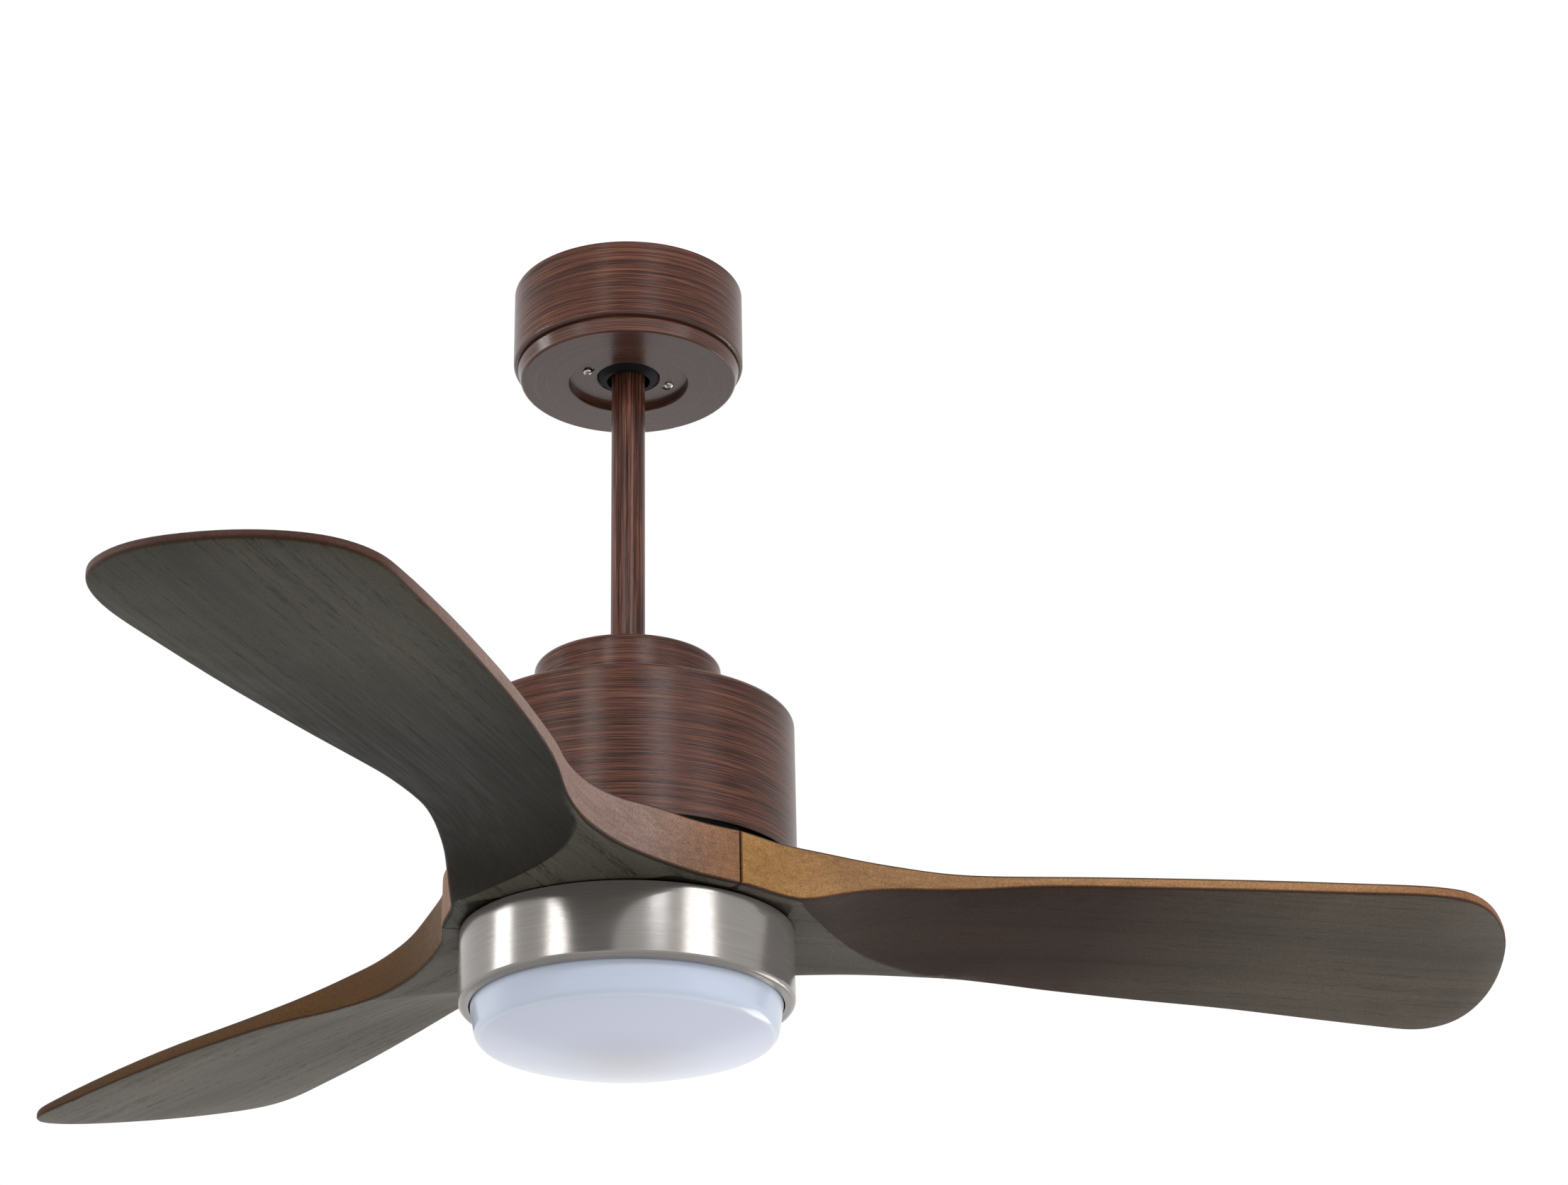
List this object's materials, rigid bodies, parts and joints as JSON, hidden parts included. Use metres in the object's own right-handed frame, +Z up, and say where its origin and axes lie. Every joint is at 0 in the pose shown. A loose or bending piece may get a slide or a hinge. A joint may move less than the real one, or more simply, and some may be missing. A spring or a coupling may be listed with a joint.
{
  "type": "ceiling fan with light",
  "caption": "Ceiling fan on a downrod, with carved wooden blades that meet at the hub, a drum motor housing, a round canopy, and a bowl light in a brushed band.",
  "frame": {"origin": "centre of the ceiling bracket's upper face, on the ceiling plane and on the fan's axis", "axes": "+Z up, into the ceiling; the fan hangs along -Z; the bracket's two slots lie along X"},
  "size_m": [1.1971, 1.2669, 0.6524],
  "materials": {
    "wood_film": "satin wood-grain film",
    "blade_wood": "weathered grey-brown wood, matte",
    "brushed_nickel": "brushed round the band",
    "opal": "opal, semi-gloss",
    "black_rubber": "matte black",
    "bright_steel": "bright plated",
    "zinc_steel": "zinc plated",
    "white_paint": "white, matte",
    "dark_plastic": "matte",
    "cast_metal": "as cast",
    "core_steel": "stacked sheets",
    "copper_wire": "enamelled winding",
    "magnet": "dark, ground",
    "white_plastic": "matte",
    "board": "white solder mask",
    "chip": "yellow phosphor"
  },
  "bodies": {
    "mount": {"ceiling_bracket": "zinc_steel", "canopy": "wood_film", "canopy_screws": "bright_steel", "receiver_box": "dark_plastic"},
    "hanger_pin": {"hanger_pin": "bright_steel"},
    "drop": {"hanger_ball": "black_rubber", "ball_set_screw": "bright_steel", "downrod": "wood_film", "yoke": "cast_metal", "yoke_pin": "bright_steel", "yoke_cotter": "bright_steel", "yoke_set_screws": "bright_steel", "yoke_screws": "bright_steel", "coupling_cover": "wood_film", "motor_housing": "wood_film", "motor_plate": "zinc_steel", "motor_shaft": "bright_steel", "stator_sleeve": "cast_metal", "stator_core": "core_steel", "stator_coils": "copper_wire", "upper_bearing_inner": "bright_steel", "lower_bearing_inner": "bright_steel", "light_pan": "white_paint", "shaft_nuts": "bright_steel", "light_ring": "brushed_nickel", "ring_screws": "bright_steel", "led_driver": "white_plastic", "led_standoffs": "cast_metal", "led_board": "board", "led_chips": "chip", "diffuser_clips": "zinc_steel"},
    "rotor": {"rotor_shell": "cast_metal", "rotor_base": "cast_metal", "rotor_screws": "bright_steel", "rotor_magnets": "magnet", "upper_bearing_outer": "bright_steel", "upper_bearing_balls": "bright_steel", "lower_bearing_outer": "bright_steel", "lower_bearing_balls": "bright_steel", "blade_1": "blade_wood", "blade_2": "blade_wood", "blade_3": "blade_wood", "blade_clamp": "zinc_steel", "blade_screws": "bright_steel"},
    "diffuser": {"diffuser": "opal"}
  },
  "joints": [
    {"name": "swing_across", "type": "hinge", "parent": "mount", "child": "hanger_pin", "pos_m": [0, 0, -0.05192], "axis": [0, 1, 0], "range_deg": [-12, 12]},
    {"name": "swing_along", "type": "hinge", "parent": "hanger_pin", "child": "drop", "pos_m": [0, 0, -0.05192], "axis": [1, 0, 0], "range_deg": [-12, 12]},
    {"name": "rotor_spin", "type": "hinge", "parent": "drop", "child": "rotor", "pos_m": [0, 0, -0.53], "axis": [0, 0, 1], "continuous": true},
    {"name": "diffuser_twist", "type": "hinge", "parent": "drop", "child": "diffuser", "pos_m": [0, 0, -0.6], "axis": [0, 0, 1], "range_deg": [0, 25]}
  ]
}
